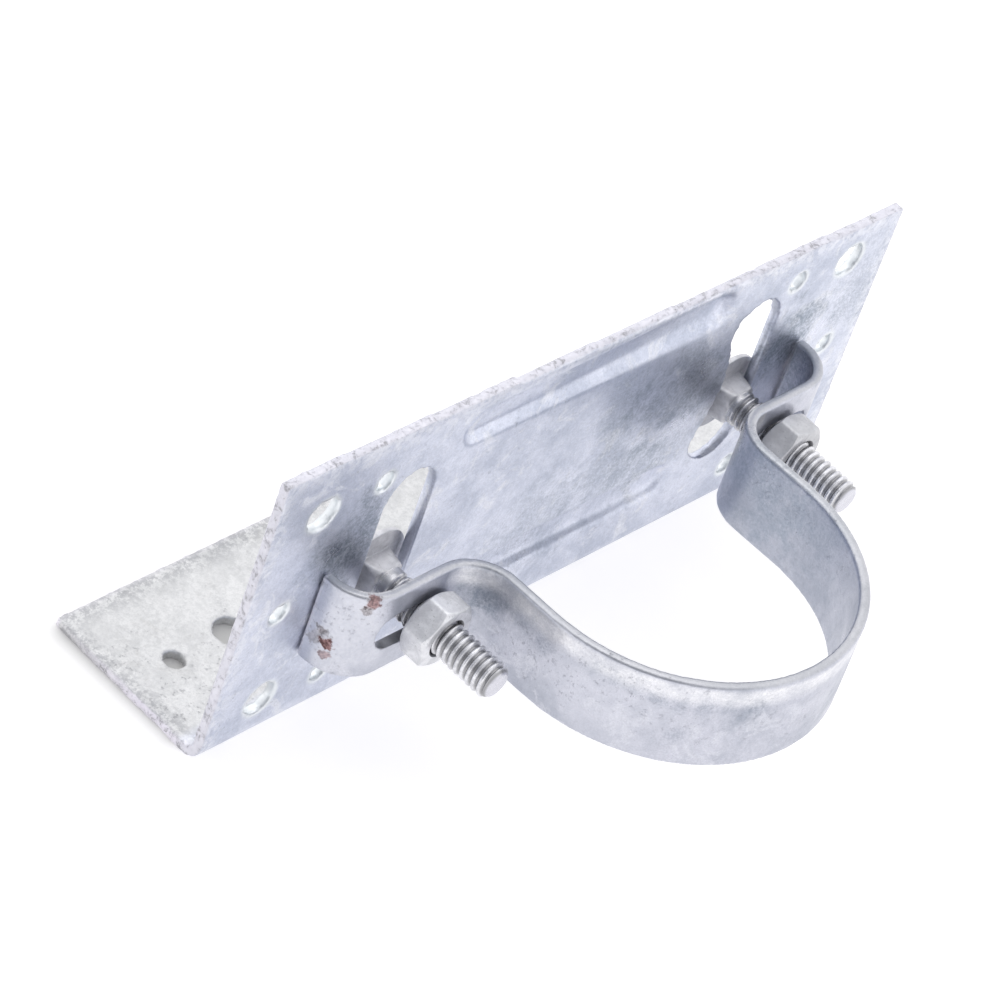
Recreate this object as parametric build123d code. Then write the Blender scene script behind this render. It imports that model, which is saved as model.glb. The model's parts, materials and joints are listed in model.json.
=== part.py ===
"""Galvanised roof bracket that clamps a mast: a folded angle plate, an omega clamp band and two bolts.

Units are millimetres and +Z is up. The origin is the middle of the plate's four corner holes, on the
plate's back face (y = 0), which is the face that goes against the roof timber. X runs along the plate,
the flange points to +Y, and the clamp band stands out to -Y.
"""

import os
from math import radians, sqrt, tan

from build123d import *

# --- angle bracket: one folded plate --------------------------------------------------------------
SHEET = 3.0                     # thickness of the plate and of its flange
PLATE_LENGTH = 230.0
PLATE_FRONT = -SHEET
UNDERSIDE_Z = -45.5             # underside of the flange, below the hole pattern's middle
TOP_LEFT_Z = 47.8               # the top edge is sheared out of square: high on the left,
TOP_RIGHT_Z = 42.0              # low on the right
FLANGE_EDGE_Y = 51.4            # free edge of the flange
FLANGE_TAPER = 2.2              # how far each end of the flange's free edge is sheared in
BEND_RADIUS = 2.5               # inside radius of the fold

SCREW_HOLE_D = 10.0
NAIL_HOLE_D = 6.0
CORNER_HOLE_X, CORNER_HOLE_Z = 97.5, 31.0
NAIL_HOLE_X, NAIL_HOLE_Z = 76.5, 32.0
SIDE_HOLE_X = 101.7
FLANGE_HOLE_Y = 25.0
FLANGE_SCREW_X, FLANGE_NAIL_X = 76.5, 96.5

SLOT_X = 64.4                   # the two upright slots that the bolts slide in
SLOT_WIDTH = 17.0
SLOT_BOTTOM_Z, SLOT_TOP_Z = -23.6, 30.2
SWELL_X, SWELL_Z = 59.4, 4.5    # crown of the swelling that narrows the right slot from its inner edge
SWELL_R = 36.0

RIB_LENGTH = 100.0              # two stiffening ribs, pressed in from the front
RIB_WIDTH = 11.0
RIB_DEPTH = 2.4
RIB_TAPER = 40.0                # slope of the rib's sides, in degrees off the pressing direction
RIB_Z = (35.6, -23.5)

# --- clamp band: one bent flat bar ----------------------------------------------------------------
BAND_WIDTH = 27.0               # along Z
BAND_T = 3.0
BAND_EDGE_R = 0.7               # rolled edge of the bar
CLAMP_Z = -5.9                  # middle of the band, and height of both bolts
ARC_R = 45.7                    # inside of the mast arc
ARC_Y = -42.5                   # its centre
EAR_Y = -15.0                   # plate side of the flat ears
SHOULDER_R = 13.5               # plate-side radius where an arm turns into an ear
LIP_X = 77.0                    # where an ear turns back to the plate
LIP_R = 9.5                     # inside radius of that turn
LIP_TIP_Y = PLATE_FRONT - 0.2
EAR_SLOT_X = 69.0
EAR_SLOT_LENGTH = 22.0
EAR_SLOT_WIDTH = 11.0

# --- M10 x 45 coach bolts and M10 nuts ------------------------------------------------------------
BOLT_X = {"left": -64.4, "right": 67.6}          # where each axis leaves its nut's back
BOLT_LEAN = 2.3                 # the loose bolts droop this many degrees at their free ends
BOLT_SPLAY = 1.3                # and both swing this many degrees towards +X
BOLT_LENGTH = 45.0              # under the head
HEAD_D = 23.4
HEAD_HEIGHT = 5.2
HEAD_RIM = 1.2                  # upright edge below the dome
HEAD_TO_NUT = 19.55             # under the head to the back of the nut
NECK_SQUARE = 10.0
NECK_LENGTH = 5.6
NECK_BACK_R, NECK_FRONT_R = 7.0, 5.9            # the neck's corners taper in towards the thread
THREAD_R = 4.95                 # crests
THREAD_ROOT_R = 4.05
THREAD_PITCH = 2.0              # measured, coarser than a standard M10 thread
THREAD_START = {"left": 7.6, "right": 6.2}      # plain shank up to here, measured under the head
END_CHAMFER = 1.5
NUT_AF = 17.0
NUT_HEIGHT = 7.8
NUT_BORE_R = 5.02
NUT_MOUTH_R = 5.6
NUT_BACK_Y = -18.8
NUT_TURN = {"left": -14.0, "right": -11.3}      # how far each nut stands round from a flat-sided pose
NUT_FACE_R = 8.1                # flat ring left by the corner chamfer
NUT_CHAMFER = 30.0

THROUGH = 4 * SHEET             # generous reach for a cutter
FRONT = Plane(origin=(0, 0, 0), x_dir=(1, 0, 0), z_dir=(0, -1, 0))    # sketches in X, Z seen from the clamp


def at(x, z):
    """Places a FRONT-plane sketch at x, z."""
    return FRONT * Pos(x, z)


def drill(radius, x, z):
    """A cutter through the plate, along Y."""
    return extrude(at(x, z) * Circle(radius), THROUGH, both=True)


def both_signs(value):
    return (-value, value)


def on_bolt(x):
    """The place where a bolt's axis leaves the back of its nut; local +Z points out to the free end."""
    return Pos(x, NUT_BACK_Y, CLAMP_Z) * Rot(0, 0, BOLT_SPLAY) * Rot(90 + BOLT_LEAN, 0, 0)


def angle_bracket():
    outer_r = BEND_RADIUS + SHEET
    section = Plane.YZ * make_face([
        Line((-SHEET, TOP_LEFT_Z), (-SHEET, UNDERSIDE_Z + outer_r)),
        CenterArc((BEND_RADIUS, UNDERSIDE_Z + outer_r), outer_r, 180, 90),
        Line((BEND_RADIUS, UNDERSIDE_Z), (FLANGE_EDGE_Y, UNDERSIDE_Z)),
        Line((FLANGE_EDGE_Y, UNDERSIDE_Z), (FLANGE_EDGE_Y, UNDERSIDE_Z + SHEET)),
        Line((FLANGE_EDGE_Y, UNDERSIDE_Z + SHEET), (BEND_RADIUS, UNDERSIDE_Z + SHEET)),
        CenterArc((BEND_RADIUS, UNDERSIDE_Z + outer_r), BEND_RADIUS, 180, 90),
        Line((0, UNDERSIDE_Z + outer_r), (0, TOP_LEFT_Z)),
        Line((0, TOP_LEFT_Z), (-SHEET, TOP_LEFT_Z)),
    ])
    half = PLATE_LENGTH / 2
    body = extrude(section, half, both=True)

    top_scrap = Polyline((-half, TOP_LEFT_Z), (half, TOP_RIGHT_Z), (half + SHEET, TOP_RIGHT_Z),
                         (half + SHEET, TOP_LEFT_Z + SHEET), (-half, TOP_LEFT_Z + SHEET), close=True)
    body -= extrude(FRONT * make_face(top_scrap), THROUGH, both=True)

    underside = Plane.XY.offset(UNDERSIDE_Z)
    for side in (-1, 1):
        tapered = side * (half - FLANGE_TAPER)
        end_scrap = Polyline((side * half, BEND_RADIUS), (tapered, FLANGE_EDGE_Y), (side * half, FLANGE_EDGE_Y),
                             close=True)
        body -= extrude(underside * make_face(end_scrap), THROUGH, both=True)

    rib_outline = SlotOverall(RIB_LENGTH, RIB_WIDTH)
    for rib_z in RIB_Z:
        pressing = at(0, rib_z) * rib_outline
        boss = extrude(pressing, -RIB_DEPTH, taper=RIB_TAPER)
        groove = extrude(Pos(0, PLATE_FRONT, 0) * pressing, -RIB_DEPTH, taper=RIB_TAPER)
        body = body + boss - groove

    for x in both_signs(CORNER_HOLE_X):
        for z in both_signs(CORNER_HOLE_Z):
            body -= drill(SCREW_HOLE_D / 2, x, z)
    for x in both_signs(NAIL_HOLE_X):
        for z in both_signs(NAIL_HOLE_Z):
            body -= drill(NAIL_HOLE_D / 2, x, z)
    for x in both_signs(SIDE_HOLE_X):
        body -= drill(NAIL_HOLE_D / 2, x, 0)
    slot_length = SLOT_TOP_Z - SLOT_BOTTOM_Z
    slot_middle = (SLOT_TOP_Z + SLOT_BOTTOM_Z) / 2
    swelling = Pos(SWELL_X - SWELL_R, SWELL_Z) * Circle(SWELL_R)
    for x in both_signs(SLOT_X):
        slot = Pos(x, slot_middle) * SlotOverall(slot_length, SLOT_WIDTH, rotation=90) - swelling
        body -= extrude(FRONT * slot, THROUGH, both=True)
    for hole_x, diameter in ((FLANGE_SCREW_X, SCREW_HOLE_D), (FLANGE_NAIL_X, NAIL_HOLE_D)):
        for x in both_signs(hole_x):
            body -= Pos(x, FLANGE_HOLE_Y, UNDERSIDE_Z) * Cylinder(diameter / 2, THROUGH)
    return body


def band_side(offset):
    """One face line of the band, right lip to left lip; offset 0 is the mast side, BAND_T the nut side."""
    lip_y = EAR_Y + LIP_R
    lip_r = LIP_R + offset
    shoulder = (ARC_R + SHOULDER_R, EAR_Y - SHOULDER_R)
    shoulder_r = SHOULDER_R - offset
    arm_x = ARC_R + offset
    right = [
        Line((LIP_X + lip_r, LIP_TIP_Y), (LIP_X + lip_r, lip_y)),
        CenterArc((LIP_X, lip_y), lip_r, -90, 90),
        Line((LIP_X, EAR_Y - offset), (shoulder[0], EAR_Y - offset)),
        CenterArc(shoulder, shoulder_r, 90, 90),
        Line((arm_x, shoulder[1]), (arm_x, ARC_Y)),
    ]
    left = [mirror(edge, about=Plane.YZ) for edge in right]
    return right + [CenterArc((0, ARC_Y), arm_x, 180, 180)] + left


def clamp_band():
    tips = []
    for side in (-1, 1):
        tip_x = side * (LIP_X + LIP_R)
        tips.append(Line((tip_x, LIP_TIP_Y), (tip_x + side * BAND_T, LIP_TIP_Y)))
    profile = make_face(band_side(0) + band_side(BAND_T) + tips)
    band = Pos(0, 0, CLAMP_Z) * extrude(profile, BAND_WIDTH / 2, both=True)
    band = fillet(band.faces().filter_by(Axis.Z).edges(), BAND_EDGE_R)
    for x in both_signs(EAR_SLOT_X):
        slot = at(x, CLAMP_Z) * SlotOverall(EAR_SLOT_LENGTH, EAR_SLOT_WIDTH)
        band -= Pos(0, EAR_Y, 0) * extrude(slot, THROUGH, both=True)
    return band


def thread_points(start):
    """Ridge points of the threaded stretch, as (radius, distance under the head)."""
    points = []
    flat = THREAD_PITCH / 8
    ridges = int((BOLT_LENGTH - END_CHAMFER - start) / THREAD_PITCH)
    for ridge in range(ridges):
        crest = start + ridge * THREAD_PITCH
        root = crest + THREAD_PITCH / 2
        points += [(THREAD_R, crest), (THREAD_R, crest + flat), (THREAD_ROOT_R, root), (THREAD_ROOT_R, root + flat)]
    return points


def coach_bolt(x, thread_start):
    """Mushroom head behind the plate, square neck in the slot and a threaded shank towards -Y."""
    sphere_r = ((HEAD_D / 2) ** 2 + (HEAD_HEIGHT - HEAD_RIM) ** 2) / (2 * (HEAD_HEIGHT - HEAD_RIM))
    dome = Pos(0, 0, sphere_r - HEAD_HEIGHT) * Sphere(sphere_r)
    blank = Pos(0, 0, -HEAD_HEIGHT / 2) * Cylinder(HEAD_D / 2, HEAD_HEIGHT)
    head = blank & dome

    neck = Pos(0, 0, NECK_LENGTH / 2) * Box(NECK_SQUARE, NECK_SQUARE, NECK_LENGTH)
    neck &= Pos(0, 0, NECK_LENGTH / 2) * Cone(NECK_BACK_R, NECK_FRONT_R, NECK_LENGTH)

    outline = [(0, 0), (THREAD_R, 0), (THREAD_R, thread_start)] + thread_points(thread_start)[1:]
    outline += [(THREAD_R, BOLT_LENGTH - END_CHAMFER), (THREAD_R - END_CHAMFER, BOLT_LENGTH), (0, BOLT_LENGTH)]
    profile = Plane.XZ * make_face(Polyline(*outline, close=True))
    shank = revolve(profile, Axis.Z)
    bolt = head + neck + shank
    return on_bolt(x) * Pos(0, 0, -HEAD_TO_NUT) * bolt


def hex_nut(x, turn):
    """Chamfered hexagon nut with its back face towards the ear."""
    corner_r = NUT_AF / sqrt(3)
    drop = (corner_r - NUT_FACE_R) * tan(radians(NUT_CHAMFER))
    blank = extrude(RegularPolygon(NUT_AF / 2, 6, major_radius=False), NUT_HEIGHT)
    turned = Polyline((0, 0), (NUT_FACE_R, 0), (corner_r, drop), (corner_r, NUT_HEIGHT - drop),
                      (NUT_FACE_R, NUT_HEIGHT), (0, NUT_HEIGHT), close=True)
    nut = blank & revolve(Plane.XZ * make_face(turned), Axis.Z)
    mouth = NUT_MOUTH_R - NUT_BORE_R
    bore = Polyline((0, -1), (NUT_MOUTH_R + 1, -1), (NUT_BORE_R, mouth), (NUT_BORE_R, NUT_HEIGHT - mouth),
                    (NUT_MOUTH_R + 1, NUT_HEIGHT + 1), (0, NUT_HEIGHT + 1), close=True)
    nut -= revolve(Plane.XZ * make_face(bore), Axis.Z)
    return on_bolt(x) * Rot(0, 0, turn) * nut


parts = {
    "angle_bracket": angle_bracket(),
    "clamp_band": clamp_band(),
}
for side, bolt_x in BOLT_X.items():
    parts["coach_bolt_" + side] = coach_bolt(bolt_x, THREAD_START[side])
    parts["hex_nut_" + side] = hex_nut(bolt_x, NUT_TURN[side])

os.makedirs("parts", exist_ok=True)
for name, solid in parts.items():
    export_step(solid, f"parts/{name}.step")
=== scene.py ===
"""Looks for the galvanised roof bracket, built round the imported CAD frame. Metres, +Z up."""
import json
import math

import bmesh
import bpy
from mathutils import Matrix, Vector, noise


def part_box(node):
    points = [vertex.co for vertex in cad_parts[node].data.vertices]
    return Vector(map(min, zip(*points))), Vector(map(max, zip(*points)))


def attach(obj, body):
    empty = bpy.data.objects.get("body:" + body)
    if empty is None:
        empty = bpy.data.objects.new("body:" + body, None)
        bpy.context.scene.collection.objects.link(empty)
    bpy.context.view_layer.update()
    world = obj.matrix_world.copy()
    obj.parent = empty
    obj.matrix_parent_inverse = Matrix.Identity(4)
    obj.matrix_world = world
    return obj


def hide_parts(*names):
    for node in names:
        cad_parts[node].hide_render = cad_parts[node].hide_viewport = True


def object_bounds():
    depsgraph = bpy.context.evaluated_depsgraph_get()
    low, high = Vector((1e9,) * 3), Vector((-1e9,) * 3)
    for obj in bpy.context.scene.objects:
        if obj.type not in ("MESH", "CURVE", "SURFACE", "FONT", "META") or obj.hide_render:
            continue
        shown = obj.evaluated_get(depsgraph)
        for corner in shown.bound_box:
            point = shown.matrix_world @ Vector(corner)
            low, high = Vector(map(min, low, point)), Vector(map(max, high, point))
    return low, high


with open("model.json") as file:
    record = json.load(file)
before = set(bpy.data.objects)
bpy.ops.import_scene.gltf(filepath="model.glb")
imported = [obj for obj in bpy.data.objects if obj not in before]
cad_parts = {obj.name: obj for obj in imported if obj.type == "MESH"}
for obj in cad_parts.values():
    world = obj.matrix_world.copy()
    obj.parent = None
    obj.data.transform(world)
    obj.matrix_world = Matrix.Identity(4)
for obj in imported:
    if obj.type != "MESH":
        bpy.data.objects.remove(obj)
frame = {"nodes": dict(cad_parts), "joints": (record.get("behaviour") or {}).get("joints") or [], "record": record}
cad_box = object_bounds()
nodes = frame["nodes"]
joints = {j["name"]: j for j in frame["joints"]}
mounts = {m["name"]: m for m in frame["record"]["mounts"]}
MM = 0.001

# ---------------------------------------------------------------- sizes that the looks are fitted to
# The plate and its flange, in metres.
PLATE_LOW, PLATE_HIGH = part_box("angle_bracket")
TOP_DROP = 5.8 * MM             # how much lower the top edge is at the right end
FOLD_Y = 3 * MM                 # the flange is beyond this, the plate is on the near side
RIB_Z = (35.6 * MM, -23.5 * MM)
RIB_HALF = 50.0 * MM
# The band's bar, in metres, along the middle of its thickness.
BAND_LOW, BAND_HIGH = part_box("clamp_band")
ARC_Y, ARC_MID, LEG_LENGTH, SHOULDER_MID = -42.5 * MM, 47.2 * MM, 14.0 * MM, 12.0 * MM
LIP_TIP_Y = -3.2 * MM
# Bolts and nuts, in millimetres from the underside of the head or the back of the nut.
THREAD_R, ROOT_R, PITCH, END_CHAMFER = 4.95, 4.1, 2.0, 1.5
BOLT_LENGTH, HEAD_TO_NUT = 45.0, 19.55
HEAD_R, HEAD_HEIGHT, HEAD_RIM, HEAD_SEAT_R = 11.7, 5.2, 1.2, 9.0
NECK_HALF, NECK_LENGTH, NECK_BACK_R, NECK_FRONT_R = 5.0, 5.6, 7.0, 5.9
NUT_AF, NUT_HEIGHT, NUT_FACE_R, NUT_BORE_R, NUT_MOUTH_R = 17.0, 7.8, 8.1, 5.02, 5.75
NUT_CHAMFER = math.tan(math.radians(30))
AROUND = 120                    # points in a ring of a bolt or nut
DOME_STEPS = 14


# ---------------------------------------------------------------- mesh helpers
def smoothstep(x, low, high):
    t = min(max((x - low) / (high - low), 0.0), 1.0)
    return t * t * (3 - 2 * t)


def waves(co, size, octaves):
    """Fractal noise from about 0 to 1 with features of the given size."""
    return 0.5 + 0.5 * noise.fractal(co / size, 0.9, 2.1, octaves)


def new_object(name, mesh):
    obj = bpy.data.objects.new(name, mesh)
    bpy.context.scene.collection.objects.link(obj)
    return obj


def smooth(mesh, rounds, chosen=lambda co: True):
    """Rounds off the vertices that `chosen` picks by their place."""
    bm = bmesh.new()
    bm.from_mesh(mesh)
    verts = [v for v in bm.verts if chosen(v.co)]
    for _ in range(rounds):
        bmesh.ops.smooth_vert(bm, verts=verts, factor=0.5, use_axis_x=True, use_axis_y=True, use_axis_z=True)
    bm.to_mesh(mesh)
    bm.free()


def welded_copy(node):
    """A copy of a CAD node's mesh with its split edges joined up again."""
    mesh = nodes[node].data.copy()
    bm = bmesh.new()
    bm.from_mesh(mesh)
    bmesh.ops.remove_doubles(bm, verts=bm.verts, dist=0.002 * MM)
    bm.to_mesh(mesh)
    bm.free()
    mesh.materials.clear()
    return mesh


def dense_copy(node, name, voxel):
    """An evenly meshed copy of a CAD node whose sharp edges are rounded as a zinc coat rounds them."""
    obj = new_object(name, welded_copy(node))
    mod = obj.modifiers.new("voxels", "REMESH")
    mod.mode = "VOXEL"
    mod.voxel_size = voxel
    mod.adaptivity = 0.0
    bpy.context.view_layer.update()
    mesh = bpy.data.meshes.new_from_object(obj.evaluated_get(bpy.context.evaluated_depsgraph_get()))
    obj.modifiers.clear()
    obj.data = mesh
    smooth(mesh, 1)
    mesh.polygons.foreach_set("use_smooth", [True] * len(mesh.polygons))
    return obj


def skin(name, rings, capped=False):
    """Skins rings of points, each of the same count; a capped skin is closed over at both ends."""
    faces = []
    for r in range(len(rings) - 1):
        for c in range(AROUND):
            d = (c + 1) % AROUND
            low, high = r * AROUND, (r + 1) * AROUND
            faces.append((low + c, low + d, high + d, high + c))
    mesh = bpy.data.meshes.new(name)
    mesh.from_pydata([p for points in rings for p in points], [], faces)
    bm = bmesh.new()
    bm.from_mesh(mesh)
    bmesh.ops.remove_doubles(bm, verts=bm.verts, dist=0.0005 * MM)
    if capped:
        bmesh.ops.dissolve_degenerate(bm, edges=bm.edges, dist=0.0002 * MM)
        bmesh.ops.holes_fill(bm, edges=[e for e in bm.edges if e.is_boundary], sides=0)
    bmesh.ops.recalc_face_normals(bm, faces=bm.faces)
    bm.to_mesh(mesh)
    bm.free()
    mesh.polygons.foreach_set("use_smooth", [True] * len(mesh.polygons))
    return mesh


def move(mesh, places):
    for v, co in zip(mesh.vertices, places):
        v.co = co


def store(mesh, marks):
    """Keeps one list of values for each named mark, for the materials to read."""
    for name, values in marks.items():
        attr = mesh.attributes.new(name, "FLOAT", "POINT")
        attr.data.foreach_set("value", values)


def dress(obj, material, body, node):
    """Gives a piece its material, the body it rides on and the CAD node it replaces."""
    obj.data.materials.append(material)
    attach(obj, body)
    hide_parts(node)


# ---------------------------------------------------------------- node helpers
class Graph:
    """Short calls for building one material's nodes."""

    def __init__(self, name):
        self.mat = bpy.data.materials.new(name)
        self.mat.use_nodes = True
        self.tree = self.mat.node_tree
        self.shader = self.tree.nodes["Principled BSDF"]
        self.coords = self.tree.nodes.new("ShaderNodeTexCoord").outputs["Object"]

    def put(self, socket, value):
        if hasattr(value, "is_output"):
            self.tree.links.new(value, socket)
        else:
            socket.default_value = value

    def noise(self, size, detail=4, rough=0.6, distort=0.0, vector=None):
        n = self.tree.nodes.new("ShaderNodeTexNoise")
        self.put(n.inputs["Vector"], vector or self.coords)
        n.inputs["Scale"].default_value = 1.0 / size
        n.inputs["Detail"].default_value = detail
        n.inputs["Roughness"].default_value = rough
        n.inputs["Distortion"].default_value = distort
        return n.outputs["Fac"]

    def cells(self, size):
        n = self.tree.nodes.new("ShaderNodeTexVoronoi")
        self.put(n.inputs["Vector"], self.coords)
        n.inputs["Scale"].default_value = 1.0 / size
        return n.outputs["Color"]

    def stretch(self, x, y, z):
        n = self.tree.nodes.new("ShaderNodeMapping")
        self.put(n.inputs["Vector"], self.coords)
        n.inputs["Scale"].default_value = (x, y, z)
        return n.outputs["Vector"]

    def mark(self, name):
        n = self.tree.nodes.new("ShaderNodeAttribute")
        n.attribute_name = name
        return n.outputs["Fac"]

    def ramp(self, value, low, high):
        n = self.tree.nodes.new("ShaderNodeMapRange")
        n.interpolation_type = "SMOOTHSTEP"
        self.put(n.inputs["Value"], value)
        n.inputs["From Min"].default_value = low
        n.inputs["From Max"].default_value = high
        return n.outputs["Result"]

    def span(self, value, low, high, to_low, to_high):
        n = self.tree.nodes.new("ShaderNodeMapRange")
        self.put(n.inputs["Value"], value)
        for key, v in (("From Min", low), ("From Max", high), ("To Min", to_low), ("To Max", to_high)):
            n.inputs[key].default_value = v
        return n.outputs["Result"]

    def math(self, op, a, b=0.0, clamp=False):
        n = self.tree.nodes.new("ShaderNodeMath")
        n.operation = op
        n.use_clamp = clamp
        self.put(n.inputs[0], a)
        self.put(n.inputs[1], b)
        return n.outputs[0]

    def times(self, a, b, clamp=False):
        return self.math("MULTIPLY", a, b, clamp)

    def plus(self, a, b):
        return self.math("ADD", a, b)

    def mix(self, factor, a, b):
        n = self.tree.nodes.new("ShaderNodeMix")
        n.data_type = "RGBA"
        self.put(n.inputs[0], factor)
        for socket, colour in ((n.inputs[6], a), (n.inputs[7], b)):
            self.put(socket, colour if hasattr(colour, "is_output") else (*colour, 1.0))
        return n.outputs[2]

    def apart(self):
        """The X and Y of a point of the object."""
        n = self.tree.nodes.new("ShaderNodeSeparateXYZ")
        self.put(n.inputs[0], self.coords)
        return n.outputs[0], n.outputs[1]

    def spot(self, centre, radius, fuzz, wobble, core):
        """1 inside an uneven blot round a point of the object, 0 outside."""
        n = self.tree.nodes.new("ShaderNodeVectorMath")
        n.operation = "DISTANCE"
        self.put(n.inputs[0], self.coords)
        n.inputs[1].default_value = centre
        edge = self.noise(wobble, 4, 0.65)
        away = self.plus(n.outputs["Value"], self.span(edge, 0.3, 0.7, -fuzz, fuzz))
        return self.ramp(away, radius, radius * core)


class Coat(Graph):
    """A metal coat built up in layers, each laid over the colour, roughness and relief below it."""

    def __init__(self, name):
        super().__init__(name)
        self.colour = self.rough = self.relief = None

    def paint(self, factor, tint):
        self.colour = self.mix(factor, self.colour, tint)

    def roughen(self, factor, amount):
        self.rough = self.plus(self.rough, self.times(factor, amount))

    def finish(self, metallic, depth, strength):
        """Connects the layers to the shader and returns the material."""
        n = self.tree.nodes.new("ShaderNodeBump")
        n.inputs["Strength"].default_value = strength
        n.inputs["Distance"].default_value = depth
        self.put(n.inputs["Height"], self.relief)
        self.put(self.shader.inputs["Normal"], n.outputs["Normal"])
        self.put(self.shader.inputs["Base Color"], self.colour)
        self.put(self.shader.inputs["Roughness"], self.rough)
        self.shader.inputs["Metallic"].default_value = metallic
        return self.mat


# ---------------------------------------------------------------- hot-dip zinc, layer by layer
def spots(rows):
    """Millimetre rows (centre, radius, ...) to metres."""
    return [(tuple(c * MM for c in centre), radius * MM, *rest) for centre, radius, *rest in rows]


LILAC = (0.77, 0.80, 0.91)
SLATE = (0.53, 0.57, 0.68)
FROST = (0.93, 0.94, 0.98)
BAND_LILAC = (0.66, 0.67, 0.745)
BAND_SLATE = (0.45, 0.475, 0.545)
BAND_FROST = (0.80, 0.81, 0.87)
PIT = (0.24, 0.25, 0.29)
SHADOW = (0.26, 0.31, 0.38)
# Dark grey used for painted shade at the band's left shoulder and for real smudges along its arc.
SMUDGE_AND_SHADE = (0.27, 0.31, 0.38)
RUST = (0.20, 0.11, 0.105)
GREY_RUST = (0.22, 0.20, 0.205)

# Patches of painted shade and painted light, and on the band also dark smudges: centre in mm, radius, strength,
# colour.
PLATE_PAINTED_SHADE = spots([
    ((-83, -3, 12), 17, 0.75, SHADOW), ((-80, -3, 24), 11, 0.55, SHADOW),
    ((40, -3, 12), 24, 0.48, SHADOW), ((18, -3, 17), 15, 0.35, SHADOW), ((53, -3, 2), 13, 0.3, SHADOW),
    ((84, -3, 10), 17, 0.8, SHADOW), ((20, -3, -6), 20, 0.3, SHADOW),
    ((46, -3, -10), 16, 0.25, SHADOW), ((108, -3, 22), 22, 0.28, SHADOW), ((-6, -3, -16), 22, 0.3, SHADOW),
    ((34, -3, -14), 15, 0.35, SHADOW), ((106, -3, 10), 14, 0.22, SHADOW),
    ((-111, 2, -40), 6, 0.6, (0.45, 0.46, 0.49))])
# Painted shade by the right lip, inside the right arm and by the left shoulder, painted light on the left ear and
# arc, and dark smudges along the left arc.
BAND_PAINTED_LIGHT_AND_SMUDGES = spots([
    ((87, -6, 0), 14, 0.6, SHADOW), ((45, -32, 0), 20, 0.6, (0.36, 0.42, 0.50)),
    ((48, -52, 0), 20, 0.5, (0.40, 0.45, 0.53)), ((-86, -11, -6), 20, 0.7, (0.82, 0.83, 0.89)),
    ((-44, -58, -6), 24, 0.35, (0.80, 0.81, 0.88)), ((-50.2, -24, -1), 8, 0.75, SMUDGE_AND_SHADE),
    ((-48.7, -35, 0), 6, 0.4, SMUDGE_AND_SHADE), ((-48.6, -43, -1), 5, 0.45, SMUDGE_AND_SHADE),
    ((-46, -58, 3), 3.5, 0.4, SMUDGE_AND_SHADE), ((-44, -62, 2.5), 4, 0.45, SMUDGE_AND_SHADE), ((-41.5, -67, 2), 4, 0.35, SMUDGE_AND_SHADE),
    ((-38, -72, 1.5), 4, 0.45, SMUDGE_AND_SHADE), ((-34, -76.5, 1), 4, 0.35, SMUDGE_AND_SHADE), ((-30, -80.5, 1), 4, 0.4, SMUDGE_AND_SHADE),
    ((-25, -84, 0.5), 3.5, 0.3, SMUDGE_AND_SHADE), ((-21.5, -86.5, -1.5), 4.5, 0.4, SMUDGE_AND_SHADE),
    ((-17.5, -88, 1), 4.5, 0.4, SMUDGE_AND_SHADE), ((-33, -78, -10), 4, 0.3, SMUDGE_AND_SHADE)])
# Where dark pits crowd together: centre in mm, radius, strength.
PLATE_SCARS = spots([
    ((22, -3, 0), 9, 1.0), ((30, -3, -6), 8, 0.9), ((-82, -3, 14), 12, 0.8), ((-112, -3, 44), 6, 1.0),
    ((-70, -3, 42), 7, 0.8), ((-95, -3, -40), 6, 0.9), ((60, -3, 36), 6, 0.8), ((-88, 20, -42), 7, 1.0),
    ((-113, -3, -12), 6, 1.3), ((-113, -3, -22), 6, 1.3), ((-112, -3, -34), 7, 1.3),
    ((-107, 14, -42), 8, 1.3), ((-98, 13, -42), 7, 1.2), ((-107, 30, -42), 6, 1.0)])
BAND_SCARS = spots([
    ((-46, -56, 1), 8, 0.9), ((-41, -68, 3), 8, 1.0), ((-31, -80, 0), 9, 1.0), ((-15, -88, -2), 8, 0.9),
    ((-87, -10, 2), 12, 1.0), ((-78, -17, -4), 9, 0.9)])
# Rust on the left lip: centre in mm, radius, strength, colour.
BAND_RUST = spots([
    ((-83.9, -16.0, 6.0), 2.4, 0.85, RUST), ((-84.6, -15.4, 3.4), 1.8, 0.7, GREY_RUST),
    ((-89.3, -7.8, -9.4), 3.8, 0.45, GREY_RUST), ((-88.7, -10.1, -10.4), 2.3, 0.95, RUST),
    ((-88.4, -10.4, -13.6), 1.8, 0.6, RUST), ((-89.3, -7.4, -7.0), 1.6, 0.6, GREY_RUST)])


def zinc_coat(name, light, dark, frost, painted_light_and_smudges, rough_high):
    """Hot-dip zinc: clouded and faintly spangled, with frosted patches, and listed patches of painted shade and
    painted light (with real smudges on the band) laid over it.
    """
    g = Coat(name)
    cloud = g.noise(30 * MM, 7, 0.64, 0.7)
    g.streak = g.noise(7 * MM, 7, 0.72, 0.2, g.stretch(0.8, 1.0, 1.0))
    g.grain = g.noise(0.9 * MM, 5, 0.7)
    frosty = g.ramp(g.noise(11 * MM, 8, 0.72, 0.9), 0.53, 0.64)
    tone = g.plus(g.times(cloud, 0.56), g.times(g.streak, 0.30))
    tone = g.plus(tone, g.times(g.noise(2.0 * MM, 5, 0.75), 0.14))
    g.colour = g.mix(g.ramp(tone, 0.38, 0.60), dark, light)
    g.paint(g.times(g.cells(4.0 * MM), 0.12), light)
    g.paint(g.times(frosty, 0.6), frost)
    # Painted shade and painted light: each patch darkens or lightens the colour towards its tint; on the band some
    # patches are real smudges.
    for centre, radius, strength, tint in painted_light_and_smudges:
        blot = g.times(g.spot(centre, radius, radius * 0.45, 8 * MM, 0.2), strength)
        g.paint(g.times(blot, g.span(g.grain, 0.40, 0.60, 1.25, 0.5), True), tint)
    g.rough = g.plus(g.span(tone, 0.35, 0.65, rough_high, 0.24), g.times(frosty, 0.12))
    return g


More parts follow.
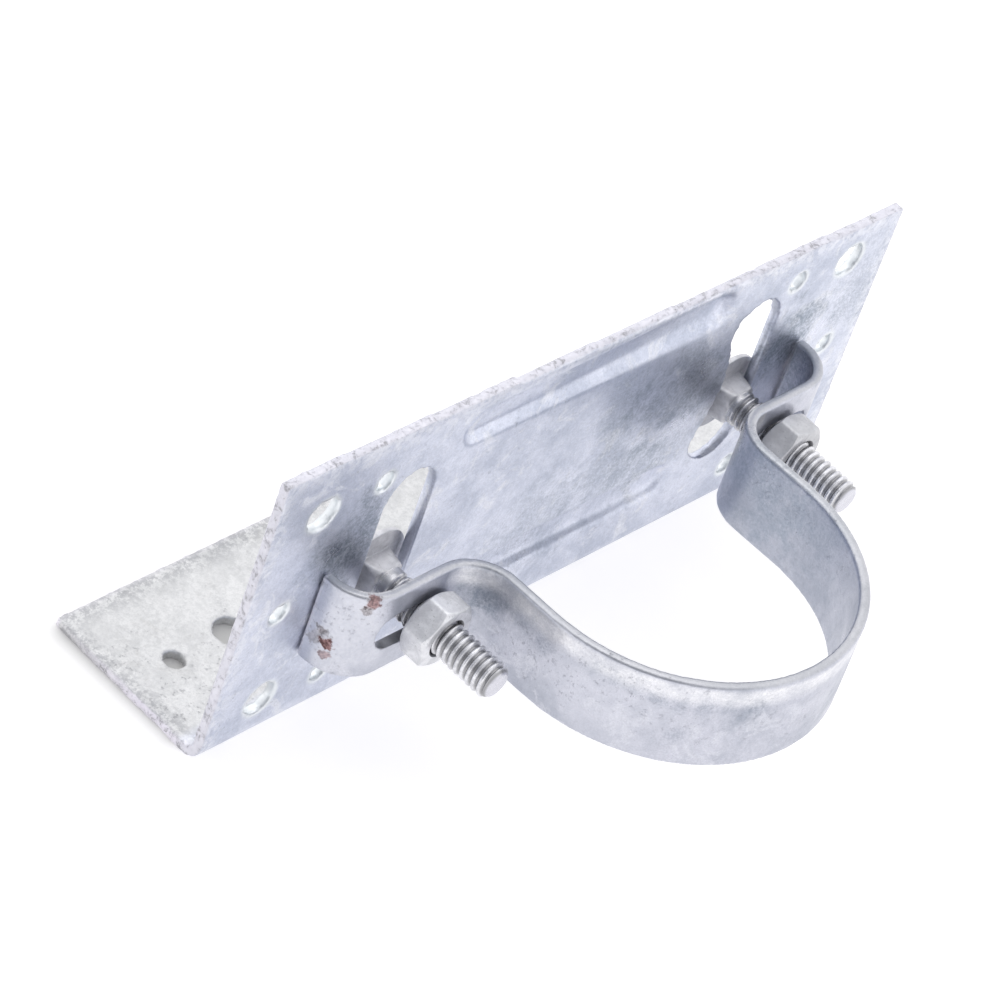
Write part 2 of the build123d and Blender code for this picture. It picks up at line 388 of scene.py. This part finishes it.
def add_grain(g, scars):
    """Fine dirt in the grain, and pits that crowd together at the scars."""
    cluster = g.ramp(g.noise(17 * MM, 5, 0.65), 0.48, 0.62)
    for centre, radius, strength in scars:
        scar = g.times(g.spot(centre, radius, radius * 0.6, 5 * MM, 0.75), strength)
        cluster = g.math("MAXIMUM", cluster, scar)
    specks = g.ramp(g.noise(1.5 * MM, 6, 0.78), 0.57, 0.63)
    g.pits = g.times(specks, g.span(cluster, 0.0, 2.0, 0.10, 1.0))
    g.paint(g.span(g.noise(0.45 * MM, 3, 0.6), 0.30, 0.70, 0.17, 0.0), PIT)
    g.paint(g.span(g.grain, 0.34, 0.64, 0.14, 0.0), PIT)
    g.paint(g.times(g.pits, 0.62), PIT)
    relief = g.plus(g.times(g.grain, 0.55), g.times(g.streak, 0.9))
    g.relief = g.math("SUBTRACT", relief, g.times(g.pits, 0.6))


def add_flange_crust(g):
    """The flange is warmer and duller, crusty all over and dark near its sheared edges."""
    on_flange = g.mark("flange")
    crust = g.noise(1.0 * MM, 6, 0.8)
    warm = g.mix(g.ramp(crust, 0.36, 0.62), (0.61, 0.61, 0.595), (0.735, 0.73, 0.715))
    drift = g.ramp(g.noise(12 * MM, 6, 0.7, 0.8), 0.46, 0.62)
    warm = g.mix(g.times(drift, 0.5), warm, (0.52, 0.52, 0.51))
    border = g.times(g.mark("border"), g.ramp(g.noise(2.2 * MM, 8, 0.85), 0.45, 0.54))
    warm = g.mix(g.times(border, 0.7), warm, (0.30, 0.30, 0.305))
    warm = g.mix(g.times(g.pits, 0.7), warm, (0.24, 0.24, 0.25))
    g.paint(g.times(on_flange, 0.85), warm)
    g.roughen(on_flange, 0.15)
    g.relief = g.plus(g.relief, g.times(g.times(on_flange, crust), 0.9))


def add_frosted_margin(g):
    """Frosted zinc along the plate's edges."""
    crusted = g.times(g.mark("frost"), g.ramp(g.noise(2.6 * MM, 7, 0.75), 0.42, 0.56))
    g.paint(g.times(crusted, 0.5), FROST)
    g.relief = g.plus(g.relief, g.times(crusted, 0.5))


def add_sheared_edges(g, with_flange):
    """Cut faces are flecked with bare grey; the flange's are brighter."""
    worn = g.mark("edge")
    flecks = g.ramp(g.noise(2.3 * MM, 7, 0.8, 0.5), 0.34, 0.50)
    raw = g.mix(flecks, (0.38, 0.37, 0.39), (0.74, 0.73, 0.785))
    if with_flange:
        raw = g.mix(g.times(g.mark("flange"), flecks), raw, (0.95, 0.92, 0.99))
    g.paint(g.times(worn, 0.85), raw)
    g.roughen(worn, 0.15)
    g.relief = g.plus(g.relief, g.times(worn, flecks))


def add_hole_rims(g):
    g.paint(g.times(g.mark("rim"), 0.85), g.mix(g.streak, (0.70, 0.74, 0.76), (0.98, 1.0, 1.0)))


def add_band_painted_light_and_top_edge(g):
    """Painted shade on the band's face towards the mast, a painted highlight just below its outer top edge, and
    grey on its top edge.
    """
    g.paint(g.times(g.mark("inside"), 0.22), (0.32, 0.38, 0.46))
    g.paint(g.times(g.mark("crown"), g.span(g.streak, 0.40, 0.60, 0.45, 1.0), True), (0.98, 0.98, 1.0))
    g.paint(g.times(g.mark("cap"), 0.5), (0.47, 0.47, 0.455))


def add_rust(g, stains):
    for centre, radius, strength, tint in stains:
        pale = tuple(min(1.0, 2.1 * c + 0.06) for c in tint)
        brown = g.mix(g.ramp(g.noise(1.1 * MM, 5, 0.7), 0.4, 0.6), tint, pale)
        blot = g.times(g.spot(centre, radius, radius * 0.5, 2.2 * MM, 0.6), strength)
        g.paint(blot, brown)
        g.roughen(blot, 0.35)
        g.relief = g.math("SUBTRACT", g.relief, g.times(blot, 0.5))


def finish_zinc(g):
    g.rough = g.math("MINIMUM", g.rough, 0.85)
    return g.finish(0.9, 0.14 * MM, 0.7)


def plate_material():
    g = zinc_coat("zinc_plate", LILAC, SLATE, FROST, PLATE_PAINTED_SHADE, 0.46)
    add_grain(g, PLATE_SCARS)
    add_flange_crust(g)
    add_frosted_margin(g)
    add_sheared_edges(g, True)
    add_hole_rims(g)
    return finish_zinc(g)


def band_material():
    g = zinc_coat("zinc_band", BAND_LILAC, BAND_SLATE, BAND_FROST, BAND_PAINTED_LIGHT_AND_SMUDGES, 0.42)
    add_band_painted_light_and_top_edge(g)
    add_grain(g, BAND_SCARS)
    add_sheared_edges(g, False)
    add_rust(g, BAND_RUST)
    return finish_zinc(g)


# ---------------------------------------------------------------- plated bolts and nuts
def plated_coat(name, light, dark, rough_low, rough_high):
    """Neutral grey plating with a fine grain and a few pits."""
    g = Coat(name)
    g.tone = g.noise(3.2 * MM, 6, 0.7, 0.3)
    grain = g.noise(0.5 * MM, 4, 0.7)
    pits = g.ramp(g.noise(0.8 * MM, 5, 0.75), 0.58, 0.68)
    g.colour = g.mix(g.ramp(g.tone, 0.36, 0.64), dark, light)
    g.paint(g.times(pits, 0.5), (0.14, 0.14, 0.14))
    g.rough = g.span(g.tone, 0.3, 0.7, rough_high, rough_low)
    g.relief = g.plus(grain, g.times(g.tone, 0.8))
    return g


def bolt_material():
    """The thread shines on its crests, with painted shade in its roots and between the neck and the nut; the head
    and neck are matt.
    """
    g = plated_coat("bolt_zinc", (0.86, 0.86, 0.89), (0.62, 0.62, 0.645), 0.20, 0.36)
    # Painted shade: the thread's roots are darkened.
    depth = g.ramp(g.mark("radius"), ROOT_R, THREAD_R - 0.2)
    g.colour = g.mix(depth, (0.34, 0.34, 0.35), g.colour)
    g.paint(g.mark("end"), g.mix(g.tone, (0.60, 0.60, 0.65), (0.75, 0.75, 0.81)))
    # Painted shade on the thread between the neck and the nut.
    g.paint(g.times(g.mark("behind"), 0.4), (0.26, 0.26, 0.275))
    matte = g.mark("matte")
    g.paint(g.times(matte, 0.6), g.mix(g.tone, (0.44, 0.44, 0.46), (0.66, 0.66, 0.69)))
    g.roughen(matte, 0.24)
    return g.finish(0.85, 0.05 * MM, 0.45)


def nut_material():
    g = plated_coat("nut_zinc", (0.88, 0.885, 0.91), (0.70, 0.705, 0.73), 0.34, 0.50)
    # Painted shade: the right nut is darkened as if it stood in shadow.
    g.paint(g.mark("shade"), (0.30, 0.30, 0.31))
    # Painted shade: a dark ring in the nut's mouth round the thread.
    g.paint(g.times(g.mark("shaded_mouth"), 0.85), (0.14, 0.14, 0.15))
    return g.finish(0.62, 0.05 * MM, 0.45)


# ---------------------------------------------------------------- angle bracket
def from_edge(co):
    """Distance in from the plate's and flange's nearest sheared edge."""
    share = (co.x - PLATE_LOW.x) / (PLATE_HIGH.x - PLATE_LOW.x)
    away = [PLATE_HIGH.z - TOP_DROP * share - co.z, co.x - PLATE_LOW.x, PLATE_HIGH.x - co.x]
    if co.y > FOLD_Y:
        away.append(PLATE_HIGH.y - co.y)
    return min(away)


def plate_holes():
    """Centre, axis letter and radius of every round hole, from the record's mounts."""
    holes = []
    for name, axis in (("corner_holes", "y"), ("nail_holes", "y"), ("side_nail_holes", "y"),
                       ("flange_screw_holes", "z"), ("flange_nail_holes", "z")):
        dims = mounts[name]["dims"]
        centre = Vector(mounts[name]["pos_m"])
        across = dims["spacing_x_mm"] * MM / 2
        up = dims.get("spacing_y_mm", 0.0) * MM / 2
        for x in (-across, across):
            for z in sorted({-up, up}):
                holes.append((centre + Vector((x, 0, z)), axis, dims["hole_r_mm"] * MM))
    return holes


def near_hole(co, holes):
    """How near a point is to a hole's rim or wall: 1 on it, 0 from 1.6 mm away."""
    best = 0.0
    for centre, axis, radius in holes:
        if (axis == "y") != (co.y <= FOLD_Y):
            continue
        away = co - centre
        r = math.hypot(away.x, away.z if axis == "y" else away.y)
        if r < radius + 2 * MM:
            best = max(best, 1.0 - smoothstep(r - radius, 0.1 * MM, 1.6 * MM))
    return best


def near_rib(co):
    return (co.y < FOLD_Y and abs(co.x) < RIB_HALF + 8 * MM
            and min(abs(co.z - z) for z in RIB_Z) < 10 * MM)


def make_bracket():
    obj = dense_copy("angle_bracket", "bracket_plate", 0.75 * MM)
    mesh = obj.data
    smooth(mesh, 10, near_rib)
    holes = plate_holes()
    marks = {mark: [] for mark in ("edge", "flange", "rim", "frost", "border")}
    moved = []
    for v in mesh.vertices:
        co, n = v.co, v.normal
        inset = from_edge(co)
        near = 1.0 - smoothstep(inset, 0.3 * MM, 2.5 * MM)
        on_edge = near * smoothstep(max(abs(n.x), n.z if co.y < FOLD_Y else n.y), 0.25, 0.7)
        rim = near_hole(co, holes)
        under = smoothstep(co.y, 2 * MM, 6 * MM)
        marks["edge"].append(min(1.0, on_edge + 0.3 * near))
        marks["flange"].append(under)
        marks["rim"].append(rim * (1.0 - under))
        marks["frost"].append((1.0 - smoothstep(inset, 1.0 * MM, 6.5 * MM)) * (1.0 - under))
        marks["border"].append((1.0 - smoothstep(inset, 1.5 * MM, 9.0 * MM)) * under)
        ragged = waves(co + Vector((0.3, 0.1, 0.2)), 2.6 * MM, 4)
        sink = 0.05 * waves(co, 14 * MM, 2) + 0.45 * on_edge * ragged + 0.14 * near * ragged
        sink -= 0.3 * rim * ragged * (1.0 - near)
        if abs(n.y) > 0.8 or abs(n.z) > 0.8:
            sink = max(sink, 0.02)
        moved.append(co - n * sink * MM)
    move(mesh, moved)
    store(mesh, marks)
    return obj


# ---------------------------------------------------------------- clamp band
def out_of_band(co):
    """Distance from the bar's middle towards the nut side, on the arc, legs and shoulders."""
    x, y = abs(co.x), co.y - ARC_Y
    if y < 0:
        return math.hypot(x, y) - ARC_MID
    if y < LEG_LENGTH:
        return x - ARC_MID
    return SHOULDER_MID - math.hypot(x - ARC_MID - SHOULDER_MID, y - LEG_LENGTH)


def make_band():
    obj = dense_copy("clamp_band", "mast_band", 0.6 * MM)
    mesh = obj.data
    middle, half = (BAND_LOW.z + BAND_HIGH.z) / 2, (BAND_HIGH.z - BAND_LOW.z) / 2
    marks = {mark: [] for mark in ("edge", "inside", "crown", "cap")}
    moved = []
    for v in mesh.vertices:
        co, n = v.co, v.normal
        out, below = out_of_band(co), middle + half - co.z
        bent = 1.0 if abs(co.x) < ARC_MID + SHOULDER_MID else 0.0
        stripe = smoothstep(below, 0.4 * MM, 1.8 * MM) * (1.0 - smoothstep(below, 3.5 * MM, 8.0 * MM))
        # Painted shade on the face towards the mast, and a painted highlight stripe just below the outer top edge.
        marks["inside"].append(bent * smoothstep(-out, 0.8 * MM, 1.4 * MM))
        marks["crown"].append(0.9 * bent * stripe * smoothstep(out, 0.8 * MM, 1.4 * MM))
        marks["cap"].append(smoothstep(n.z, 0.5, 0.9))
        marks["edge"].append(smoothstep(co.y, LIP_TIP_Y - 1.4 * MM, LIP_TIP_Y - 0.3 * MM))
        rim = smoothstep(abs(co.z - middle), half - 1.2 * MM, half - 0.3 * MM)
        fine = waves(co + Vector((0.1, 0.5, 0.2)), 2.2 * MM, 3)
        moved.append(co - n * (0.05 * waves(co, 9 * MM, 2) + 0.03 * fine + 0.05 * rim * fine) * MM)
    move(mesh, moved)
    store(mesh, marks)
    return obj


# ---------------------------------------------------------------- bolts and nuts
def seat(joint):
    """The matrix that takes +Z to the bolt's axis, at the back of its nut."""
    axis = Vector(joints[joint]["axis"]).normalized()
    side = Vector((-axis.y, axis.x, 0)).normalized()
    up = axis.cross(side).normalized()
    turn = Matrix((side, up, axis)).transposed().to_4x4()
    return Matrix.Translation(Vector(joints[joint]["pos_m"])) @ turn


def ring(radius_at, height_at):
    """Points round the axis. The radius follows the angle and the height follows the radius."""
    points = []
    for k in range(AROUND):
        a = 2 * math.pi * k / AROUND
        r = radius_at(a)
        points.append(Vector((r * math.cos(a), r * math.sin(a), height_at(r))) * MM)
    return points


def circle(radius, height):
    return ring(lambda a: radius, lambda r: height)


def turned_down(flat, limit, power):
    """The smaller of a polygon's radius and a limit, with a small round between them."""
    return (flat ** -power + limit ** -power) ** (-1 / power)


def square(half, limit):
    """Radius of a square whose corners are turned down to a limit."""
    return lambda a: turned_down(half / max(abs(math.cos(a)), abs(math.sin(a))), limit, 36)


def hexagon(a):
    flat = NUT_AF / 2 / math.cos(a % (math.pi / 3) - math.pi / 6)
    return turned_down(flat, NUT_AF / math.sqrt(3) - 0.16, 60)


def thread_rings(start, end):
    """Rings that follow the helix, one for each corner of the thread's outline."""
    shape = ((0.0, THREAD_R - 0.02), (0.06, THREAD_R), (0.14, THREAD_R - 0.02), (0.22, THREAD_R - 0.12),
             (0.32, THREAD_R - 0.42), (0.42, ROOT_R + 0.12), (0.50, ROOT_R), (0.60, ROOT_R),
             (0.68, ROOT_R + 0.12), (0.80, THREAD_R - 0.42), (0.90, THREAD_R - 0.12))
    rings = []
    for turn in range(-1, int((end - start) / PITCH) + 2):
        for share, radius in shape:
            points = []
            for k in range(AROUND):
                a = 2 * math.pi * k / AROUND
                h = min(max(start + (turn + share + k / AROUND) * PITCH, start), end)
                depth = (THREAD_R - radius) * smoothstep(h, start, start + 1.2 * PITCH)
                r = min(THREAD_R - depth, THREAD_R - max(0.0, h - (end - END_CHAMFER)))
                points.append(Vector((r * math.cos(a), r * math.sin(a), h)) * MM)
            rings.append(points)
    return rings


def head_rings():
    """The dome, which stops just short of the rim, then the rim's side and the underside."""
    rise = HEAD_HEIGHT - HEAD_RIM
    sphere = (HEAD_R ** 2 + rise ** 2) / (2 * rise)
    rings = []
    for step in range(1, DOME_STEPS + 1):
        a = math.asin(HEAD_R / sphere) * step / (DOME_STEPS + 0.3)
        rings.append(circle(sphere * math.sin(a), -HEAD_HEIGHT + sphere * (1 - math.cos(a))))
    for inset, h in ((0.06, -HEAD_RIM), (0.0, -HEAD_RIM + 0.2), (0.0, -0.25), (0.08, -0.07), (0.25, 0.0)):
        rings.append(circle(HEAD_R - inset, h))
    return rings + [circle(HEAD_SEAT_R, 0.0)]


def neck_rings():
    """A square that tapers at its corners, and its step down to the thread."""
    base = square(NECK_HALF, NECK_BACK_R)
    rings = [ring(lambda a: base(a) + 0.35, lambda r: 0.0)]
    for share in (0.05, 0.2, 0.4, 0.6, 0.8, 0.93):
        corner = NECK_BACK_R + (NECK_FRONT_R - NECK_BACK_R) * share
        rings.append(ring(square(NECK_HALF, corner), lambda r, h=NECK_LENGTH * share: h))
    rings.append(ring(square(NECK_HALF - 0.12, NECK_FRONT_R - 0.15), lambda r: NECK_LENGTH))
    rings.append(circle(THREAD_R + 0.12, NECK_LENGTH + 0.25))
    rings.append(circle(THREAD_R, NECK_LENGTH + 0.5))
    return rings


def make_bolt(name, joint, thread_start):
    ends = [circle(THREAD_R - END_CHAMFER - 0.2, BOLT_LENGTH), circle(1.6, BOLT_LENGTH - 0.06)]
    mesh = skin(name, head_rings() + neck_rings() + thread_rings(thread_start, BOLT_LENGTH) + ends, True)
    mesh.set_sharp_from_angle(angle=math.radians(42))
    marks = {mark: [] for mark in ("radius", "matte", "behind", "end")}
    for v in mesh.vertices:
        h = v.co.z / MM
        threaded = h > NECK_LENGTH + 0.4
        marks["radius"].append(math.hypot(v.co.x, v.co.y) / MM if threaded else HEAD_R)
        marks["matte"].append(0.0 if threaded else 1.0)
        # Painted shade on the thread up to the nut.
        marks["behind"].append(1.0 - smoothstep(h, HEAD_TO_NUT, HEAD_TO_NUT + 3.0) if threaded else 0.0)
        marks["end"].append(smoothstep(h, BOLT_LENGTH - 0.6, BOLT_LENGTH - 0.1))
    store(mesh, marks)
    obj = new_object(name, mesh)
    obj.matrix_world = seat(joint) @ Matrix.Translation((0, 0, -HEAD_TO_NUT * MM))
    return obj


def nut_rings():
    """A closed section: bore, chamfered back face, flats and chamfered front face."""
    def back(r):
        return max(0.0, r - NUT_FACE_R) * NUT_CHAMFER

    def front(r):
        return NUT_HEIGHT - back(r)

    def inner(a):
        return hexagon(a) - 0.12

    rings = [circle(NUT_BORE_R, 0.6), circle(NUT_MOUTH_R, 0.0), circle(NUT_FACE_R - 0.1, 0.0)]
    rings.append(ring(lambda a: NUT_FACE_R + 0.05, back))
    rings.append(ring(inner, back))
    rings.append(ring(hexagon, lambda r: back(r) + 0.18))
    rings.append(ring(hexagon, lambda r: NUT_HEIGHT / 2))
    rings.append(ring(hexagon, lambda r: front(r) - 0.18))
    rings.append(ring(inner, front))
    rings.append(ring(lambda a: NUT_FACE_R + 0.05, front))
    rings.append(circle(NUT_FACE_R - 0.1, NUT_HEIGHT))
    rings.append(circle(NUT_MOUTH_R + 0.12, NUT_HEIGHT))
    rings.append(circle(NUT_MOUTH_R, NUT_HEIGHT - 0.08))
    rings.append(circle(NUT_BORE_R, NUT_HEIGHT - 0.8))
    return rings + [rings[0]]


def make_nut(name, joint, turn, shade):
    mesh = skin(name, nut_rings())
    # The mouth ring is marked for painted shade.
    shaded_mouth = [math.hypot(v.co.x, v.co.y) < (NUT_MOUTH_R + 0.06) * MM for v in mesh.vertices]
    store(mesh, {"shade": [shade] * len(mesh.vertices), "shaded_mouth": [float(m) for m in shaded_mouth]})
    obj = new_object(name, mesh)
    obj.matrix_world = seat(joint) @ Matrix.Rotation(math.radians(turn), 4, "Z")
    weighted = obj.modifiers.new("edges", "WEIGHTED_NORMAL")
    weighted.keep_sharp = True
    return obj


# ---------------------------------------------------------------- assembly
dress(make_bracket(), plate_material(), "bracket", "angle_bracket")
dress(make_band(), band_material(), "clamp", "clamp_band")

bolt_steel, nut_steel = bolt_material(), nut_material()
# Side, the nut's turn in degrees, where the thread starts and how much painted shade darkens the nut.
for side, turn, thread_start, shade in (("left", -14.0, 7.6, 0.0), ("right", -11.3, 6.2, 0.42)):
    joint = "nut_" + side + "_turn"
    bolt = make_bolt("bolt_" + side, joint, thread_start)
    dress(bolt, bolt_steel, "bolt_" + side, "coach_bolt_" + side)
    nut = make_nut("nut_" + side, joint, turn, shade)
    dress(nut, nut_steel, "nut_" + side, "hex_nut_" + side)


# ---------------------------------------------------------------- stage, light and camera
def make_floor():
    """A pale floor that glows faintly, with a painted contact shadow where the glow drops under the flange."""
    mesh = bpy.data.meshes.new("floor")
    z = cad_box[0].z - 0.02 * MM
    mesh.from_pydata([(-6, -6, z), (6, -6, z), (6, 6, z), (-6, 6, z)], [], [(0, 1, 2, 3)])
    floor = new_object("floor", mesh)
    g = Graph("pale_floor")
    g.shader.inputs["Base Color"].default_value = (0.42, 0.42, 0.40, 1)
    g.shader.inputs["Roughness"].default_value = 0.8
    g.shader.inputs["Specular IOR Level"].default_value = 0.1
    g.shader.inputs["Emission Color"].default_value = (0.975, 0.965, 1.0, 1)
    x, y = g.apart()
    # Painted contact shadow: less glow under the flange and a little past its edges.
    under = g.times(g.ramp(g.math("ABSOLUTE", x), 121 * MM, 108 * MM), g.ramp(y, 56 * MM, 46 * MM))
    under = g.times(under, g.ramp(y, 1 * MM, 8 * MM))
    g.put(g.shader.inputs["Emission Strength"], g.span(under, 0.0, 1.0, 0.76, 0.16))
    mesh.materials.append(g.mat)


def make_world(dark_towards, bright, dim):
    """A white studio that is darker on the camera's side."""
    world = bpy.data.worlds.new("studio")
    bpy.context.scene.world = world
    world.use_nodes = True
    tree = world.node_tree
    coords = tree.nodes.new("ShaderNodeTexCoord")
    dot = tree.nodes.new("ShaderNodeVectorMath")
    dot.operation = "DOT_PRODUCT"
    dot.inputs[1].default_value = dark_towards
    tree.links.new(coords.outputs["Generated"], dot.inputs[0])
    spread = tree.nodes.new("ShaderNodeMapRange")
    spread.interpolation_type = "SMOOTHSTEP"
    spread.inputs["From Min"].default_value = 0.5
    spread.inputs["From Max"].default_value = 0.98
    tree.links.new(dot.outputs["Value"], spread.inputs["Value"])
    mix = tree.nodes.new("ShaderNodeMix")
    mix.data_type = "RGBA"
    mix.inputs[6].default_value = (*bright, 1)
    mix.inputs[7].default_value = (*dim, 1)
    tree.links.new(spread.outputs["Result"], mix.inputs[0])
    tree.links.new(mix.outputs[2], tree.nodes["Background"].inputs["Color"])
    tree.nodes["Background"].inputs["Strength"].default_value = 1.0


def make_softbox(position, size, watts):
    """A square area light that faces the origin."""
    data = bpy.data.lights.new("top_softbox", "AREA")
    data.shape = "SQUARE"
    data.size = size
    data.energy = watts
    lamp = new_object("top_softbox", data)
    lamp.location = position
    lamp.rotation_mode = "QUATERNION"
    lamp.rotation_quaternion = (-Vector(position)).to_track_quat("-Z", "Y")


def make_camera():
    """A long lens from the left, front and above."""
    data = bpy.data.cameras.new("camera")
    data.sensor_width = 36.0
    data.lens = 214.49
    data.clip_start, data.clip_end = 0.05, 50.0
    right = Vector((0.67408638, -0.68821581, 0.26826583))
    up = Vector((0.33469949, 0.60834563, 0.71964703))
    back = Vector((-0.6584708, -0.39531583, 0.64042298))
    camera = new_object("camera", data)
    turn = Matrix((right, up, back)).transposed().to_4x4()
    camera.matrix_world = Matrix.Translation((-0.99224, -0.58410, 0.94329)) @ turn
    bpy.context.scene.camera = camera


make_floor()
make_world((-0.66, -0.40, 0.64), (1.24, 1.24, 1.26), (0.36, 0.37, 0.40))
make_softbox((0.3, 0.5, 1.6), 1.4, 3)
make_camera()
bpy.context.scene.view_settings.view_transform = "Standard"
